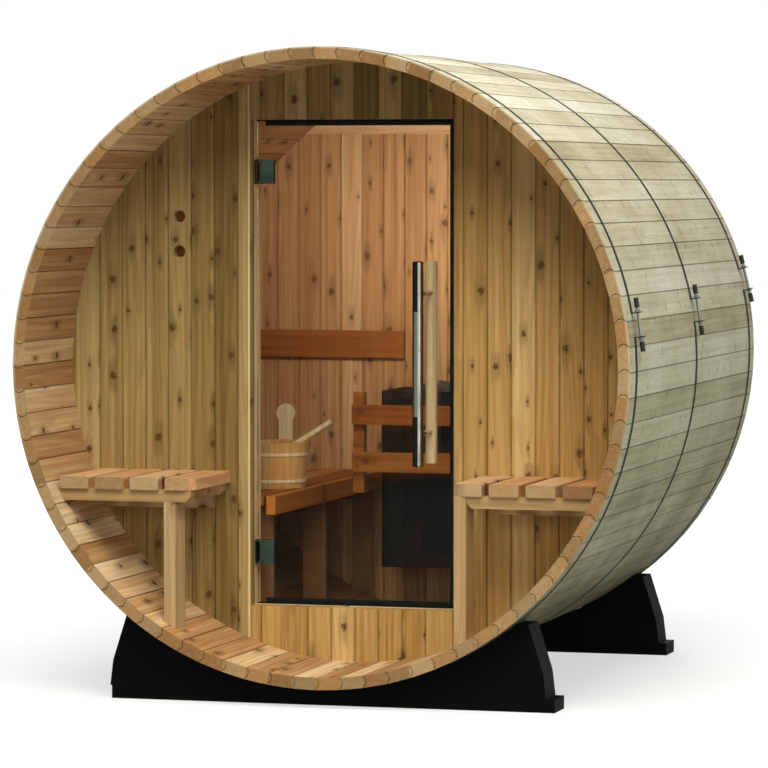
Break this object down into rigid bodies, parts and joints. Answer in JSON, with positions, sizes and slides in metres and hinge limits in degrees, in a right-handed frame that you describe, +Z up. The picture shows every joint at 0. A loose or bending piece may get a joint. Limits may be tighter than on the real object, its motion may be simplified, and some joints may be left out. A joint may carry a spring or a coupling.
{
  "type": "barrel sauna",
  "caption": "Cedar barrel sauna with a porch, a glass door, slatted benches, steel bands and black cradles.",
  "frame": {"origin": "on the ground below the middle of the barrel; the tension rods on the right side move the box's own middle by about 15 mm", "axes": "+X to the right seen from the porch, +Y from the porch to the back, +Z up"},
  "size_m": [1.8576, 1.829, 1.8866],
  "materials": {
    "weathered_cedar": "weathered, sawn",
    "wall_cedar": "planed, oiled",
    "cabin_cedar": "planed, bare",
    "pale_wood": "smooth",
    "band_steel": "dull galvanised",
    "cap_plastic": "matte black",
    "seal_rubber": "matte black",
    "hinge_metal": "dark satin",
    "door_glass": "clear, slightly bronze",
    "handle_chrome": "polished",
    "heater_metal": "satin black",
    "heater_stone": "rough dark stone",
    "cradle_plastic": "matte black"
  },
  "bodies": {
    "sauna": {"staves_bottom": "weathered_cedar", "staves_lower_right": "weathered_cedar", "staves_right": "weathered_cedar", "staves_upper_right": "weathered_cedar", "staves_top": "weathered_cedar", "staves_upper_left": "weathered_cedar", "staves_left": "weathered_cedar", "staves_lower_left": "weathered_cedar", "front_wall_left": "wall_cedar", "front_wall_right": "wall_cedar", "front_wall_head": "wall_cedar", "front_wall_sill": "wall_cedar", "door_frame": "wall_cedar", "left_porch_slats": "wall_cedar", "left_porch_bearers": "wall_cedar", "left_porch_post": "wall_cedar", "right_porch_slats": "wall_cedar", "right_porch_bearers": "wall_cedar", "right_porch_post": "wall_cedar", "back_wall": "cabin_cedar", "back_wall_header": "cabin_cedar", "left_bench_seat": "cabin_cedar", "left_bench_frame": "cabin_cedar", "right_bench_seat": "cabin_cedar", "right_bench_frame": "cabin_cedar", "backrests": "cabin_cedar", "heater_guard": "cabin_cedar", "bucket": "pale_wood", "ladle": "pale_wood", "front_band": "band_steel", "middle_band": "band_steel", "rear_band": "band_steel", "band_tension_rods": "band_steel", "tension_rod_caps": "cap_plastic", "door_seal": "seal_rubber", "frame_hinge_leaves": "hinge_metal", "heater": "heater_metal", "heater_stones": "heater_stone", "front_cradle": "cradle_plastic", "rear_cradle": "cradle_plastic", "cradle_skids": "cradle_plastic"},
    "door": {"door_hinge_leaves": "hinge_metal", "door_glass": "door_glass", "outer_handle": "handle_chrome", "inner_handle": "pale_wood"}
  },
  "joints": [
    {"name": "door_hinge", "type": "hinge", "parent": "sauna", "child": "door", "pos_m": [-0.312, -0.4395, 0.97], "axis": [0, 0, -1], "range_deg": [0, 90]}
  ]
}
